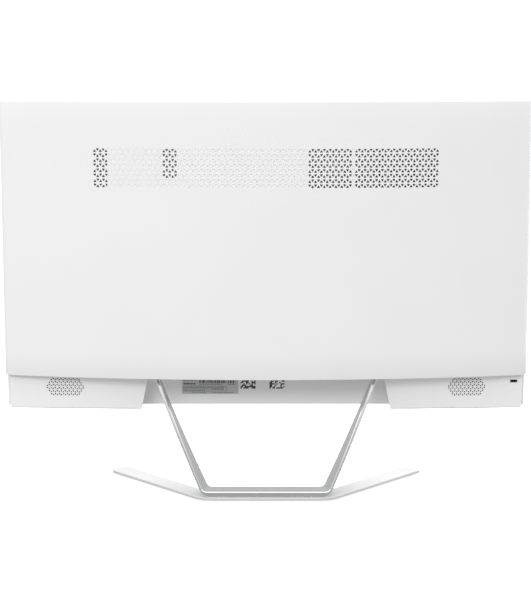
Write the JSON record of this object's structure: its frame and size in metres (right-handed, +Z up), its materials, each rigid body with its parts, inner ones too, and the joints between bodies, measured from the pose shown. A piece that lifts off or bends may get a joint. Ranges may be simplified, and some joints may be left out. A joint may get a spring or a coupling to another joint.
{
  "type": "all in one pc",
  "caption": "All-in-one desktop computer: slim white display unit with a vented rear cover, on a tilting bent-bar stand.",
  "frame": {"origin": "on the floor, under the middle of the whole object's box", "axes": "+Z up, +X to the user's right, -Y the way the screen faces"},
  "size_m": [0.541, 0.126, 0.407],
  "materials": {
    "cover_white": "fine satin moulded finish",
    "frame_white": "smooth white moulding",
    "button_white": "smooth",
    "screen_black": "dark anti-glare screen",
    "diffuser_white": "light guide and films",
    "sheet_steel": "pressed zinc-plated sheet",
    "hinge_steel": "machined and oiled",
    "screw_steel": "dark zinc",
    "bar_aluminium": "brushed, with polished chamfers",
    "base_white": "smooth white powder coat",
    "foot_rubber": "soft black rubber",
    "board_green": "solder mask over copper",
    "chip_metal": "nickel-plated lid",
    "plated_copper": "nickel-plated copper",
    "fin_aluminium": "thin bare sheet",
    "black_plastic": "fine texture",
    "port_metal": "tin-plated shell",
    "drive_metal": "drive case",
    "label_silver": "silver film label",
    "wire_black": "insulation",
    "ribbon_white": "flat flexible cable"
  },
  "bodies": {
    "stand": {"base_plate": "base_white", "rubber_feet": "foot_rubber", "stand_frame": "bar_aluminium", "base_screws": "screw_steel", "hinge_leaf_left": "hinge_steel", "hinge_leaf_right": "hinge_steel", "hinge_shaft_left": "hinge_steel", "hinge_shaft_right": "hinge_steel", "hinge_nuts": "screw_steel", "hinge_washers": "hinge_steel", "leaf_screws": "screw_steel"},
    "display": {"front_frame": "frame_white", "lcd_cell": "screen_black", "backlight_stack": "diffuser_white", "panel_tray": "sheet_steel", "panel_driver_board": "board_green", "rear_cover": "cover_white", "lower_cover": "cover_white", "hinge_bracket_left": "hinge_steel", "hinge_bracket_right": "hinge_steel", "bracket_screws": "screw_steel", "chassis_plate": "sheet_steel", "inner_shield": "sheet_steel", "standoffs": "screw_steel", "board_screws": "screw_steel", "motherboard": "board_green", "cpu": "chip_metal", "memory_modules": "board_green", "storage_stick": "board_green", "radio_card": "board_green", "heat_spreader": "plated_copper", "heat_pipes": "plated_copper", "fin_stack": "fin_aluminium", "blower_housing": "black_plastic", "blower_lid": "sheet_steel", "fan_axle": "hinge_steel", "drive_caddy": "sheet_steel", "drive": "drive_metal", "port_shield": "sheet_steel", "dc_jack": "black_plastic", "hdmi_port": "port_metal", "lan_port": "port_metal", "usb_ports": "port_metal", "audio_jack": "black_plastic", "speaker_box_left": "black_plastic", "speaker_box_right": "black_plastic", "speaker_driver_left": "black_plastic", "speaker_driver_right": "black_plastic", "antennas": "board_green", "camera_module": "board_green", "lock_plate": "sheet_steel", "button_board": "board_green", "display_cable": "ribbon_white", "speaker_cables": "wire_black", "drive_cable": "ribbon_white", "rating_label": "label_silver", "code_labels": "label_silver", "cover_screws": "screw_steel"},
    "fan": {"fan_impeller": "black_plastic"},
    "power_button": {"power_button": "button_white"}
  },
  "joints": [
    {"name": "display_tilt", "type": "hinge", "parent": "stand", "child": "display", "pos_m": [0, 0.014, 0.146], "axis": [-1, 0, 0], "range_deg": [-5, 15]},
    {"name": "fan_spin", "type": "hinge", "parent": "display", "child": "fan", "pos_m": [-0.14, 0.009, 0.276], "axis": [0, 1, 0], "continuous": true},
    {"name": "power_press", "type": "slide", "parent": "display", "child": "power_button", "axis": [0, 0, 1], "range_m": [0, 0.0008], "stiffness_N_per_m": 1500}
  ]
}
